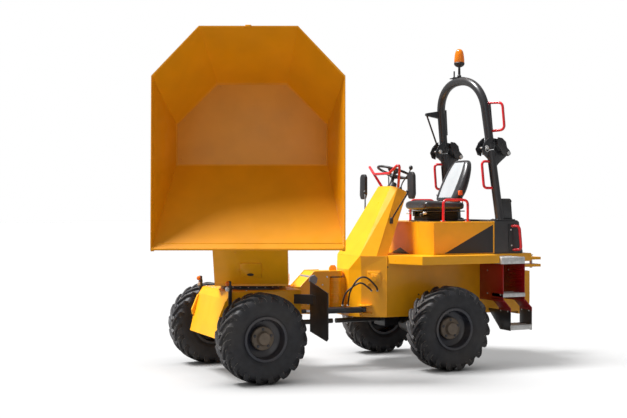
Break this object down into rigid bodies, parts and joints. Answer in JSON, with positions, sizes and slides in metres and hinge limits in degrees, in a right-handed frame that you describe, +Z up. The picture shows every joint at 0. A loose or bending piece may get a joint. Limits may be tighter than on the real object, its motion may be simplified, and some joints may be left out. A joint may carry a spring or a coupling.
{
  "type": "articulated site dumper",
  "caption": "Articulated site dumper with a swivelling, tipping skip at the front and a driver's seat under a folding roll-over hoop at the rear.",
  "frame": {"origin": "on the ground, at the middle of the box around the whole machine as it stands, skip swivelled left and tipped", "axes": "+X forward towards the skip end, +Y to the driver's left, +Z up"},
  "size_m": [4.6243, 2.1643, 3.367],
  "materials": {
    "amber": "clear amber",
    "black_plastic": "textured",
    "black_steel": "satin paint",
    "body_yellow": "glossy paint, dusty",
    "dark_grey": "satin paint",
    "hose": "matt rubber",
    "red": "gloss paint",
    "rim": "dusty satin",
    "rod_chrome": "polished",
    "skip_yellow": "satin paint",
    "tyre": "matt, worn lugs",
    "vinyl": "grained vinyl"
  },
  "bodies": {
    "rear_half": {"rear_chassis": "body_yellow", "rear_counterweight": "body_yellow", "deck": "body_yellow", "console": "body_yellow", "guard_rail": "red", "mirror_left": "black_plastic", "mirror_right": "black_plastic", "seat_box": "body_yellow", "rear_cover": "dark_grey", "engine_and_gearbox": "black_steel", "seat_suspension": "black_plastic", "seat_cushion": "vinyl", "seat_back": "vinyl", "seat_handle_left": "red", "seat_handle_right": "red", "rops_leg_left": "black_steel", "rops_leg_right": "black_steel", "steps_left": "red", "steps_right": "red", "steering_hose_inner": "hose", "steering_hose_outer": "hose", "rear_axle": "black_steel", "rear_drive_shaft": "black_steel"},
    "front_half": {"front_chassis": "body_yellow", "slew_ring": "black_steel", "mudflap_left": "black_plastic", "mudflap_right": "black_plastic", "front_lamp_left": "black_steel", "front_lamp_right": "black_steel", "front_axle": "black_steel", "front_drive_shaft": "black_steel"},
    "swivel": {"swivel_frame": "body_yellow"},
    "skip": {"skip": "skip_yellow"},
    "tip_barrel": {"tip_cylinder_barrel": "black_steel"},
    "tip_rod": {"tip_cylinder_rod": "rod_chrome"},
    "steer_barrel": {"steering_cylinder_barrel": "black_steel"},
    "steer_rod": {"steering_cylinder_rod": "rod_chrome"},
    "hoop": {"rops_hoop": "black_steel", "beacon": "amber"},
    "helm": {"steering_wheel": "black_plastic"},
    "wheel_front_left": {"tyre_front_left": "tyre", "rim_front_left": "rim"},
    "wheel_front_right": {"tyre_front_right": "tyre", "rim_front_right": "rim"},
    "wheel_rear_left": {"tyre_rear_left": "tyre", "rim_rear_left": "rim"},
    "wheel_rear_right": {"tyre_rear_right": "tyre", "rim_rear_right": "rim"}
  },
  "joints": [
    {"name": "steer", "type": "hinge", "parent": "rear_half", "child": "front_half", "pos_m": [0.2118, -0.1721, 0.765], "axis": [0, 0, 1], "range_deg": [-33, 33]},
    {"name": "skip_swivel", "type": "hinge", "parent": "front_half", "child": "swivel", "pos_m": [1.1018, -0.1721, 0.875], "axis": [0, 0, 1], "range_deg": [-156, 24]},
    {"name": "skip_tip", "type": "hinge", "parent": "swivel", "child": "skip", "pos_m": [1.41092, 0.52219, 1.437], "axis": [-0.9135, 0.4067, 0], "range_deg": [-88, 0]},
    {"name": "tip_ram_pivot", "type": "hinge", "parent": "swivel", "child": "tip_barrel", "pos_m": [0.93097, -0.55579, 0.95], "axis": [-0.9135, 0.4067, 0], "range_deg": [-1, 60]},
    {"name": "tip_ram_stroke", "type": "slide", "parent": "tip_barrel", "child": "tip_rod", "axis": [0.2504, 0.5623, 0.7881], "range_m": [-0.35, 0.005]},
    {"name": "steer_ram_pivot", "type": "hinge", "parent": "rear_half", "child": "steer_barrel", "pos_m": [0.0318, 0.1579, 0.6], "axis": [0, 0, 1], "range_deg": [-26, 26]},
    {"name": "steer_ram_stroke", "type": "slide", "parent": "steer_barrel", "child": "steer_rod", "axis": [0.9856, -0.1692, 0], "range_m": [-0.175, 0.175]},
    {"name": "rops_fold", "type": "hinge", "parent": "rear_half", "child": "hoop", "pos_m": [-1.5752, -0.1721, 2.208], "axis": [0, -1, 0], "range_deg": [0, 105]},
    {"name": "steering_wheel_turn", "type": "hinge", "parent": "rear_half", "child": "helm", "pos_m": [-0.4832, -0.1721, 1.952], "axis": [-0.3249, 0, 0.9457], "continuous": true},
    {"name": "wheel_front_left_spin", "type": "hinge", "parent": "front_half", "child": "wheel_front_left", "pos_m": [1.3118, 0.5729, 0.4225], "axis": [0, 1, 0], "continuous": true},
    {"name": "wheel_front_right_spin", "type": "hinge", "parent": "front_half", "child": "wheel_front_right", "pos_m": [1.3118, -0.9171, 0.4225], "axis": [0, 1, 0], "continuous": true},
    {"name": "wheel_rear_left_spin", "type": "hinge", "parent": "rear_half", "child": "wheel_rear_left", "pos_m": [-0.7082, 0.5729, 0.4225], "axis": [0, 1, 0], "continuous": true},
    {"name": "wheel_rear_right_spin", "type": "hinge", "parent": "rear_half", "child": "wheel_rear_right", "pos_m": [-0.7082, -0.9171, 0.4225], "axis": [0, 1, 0], "continuous": true}
  ],
  "couplings": [
    {"joint": "tip_ram_pivot", "follows": "skip_tip", "ratio": -0.591},
    {"joint": "tip_ram_stroke", "follows": "skip_tip", "m_per_rad": 0.21071},
    {"joint": "steer_ram_pivot", "follows": "steer", "ratio": 0.67212},
    {"joint": "steer_ram_stroke", "follows": "steer", "m_per_rad": -0.2894}
  ]
}
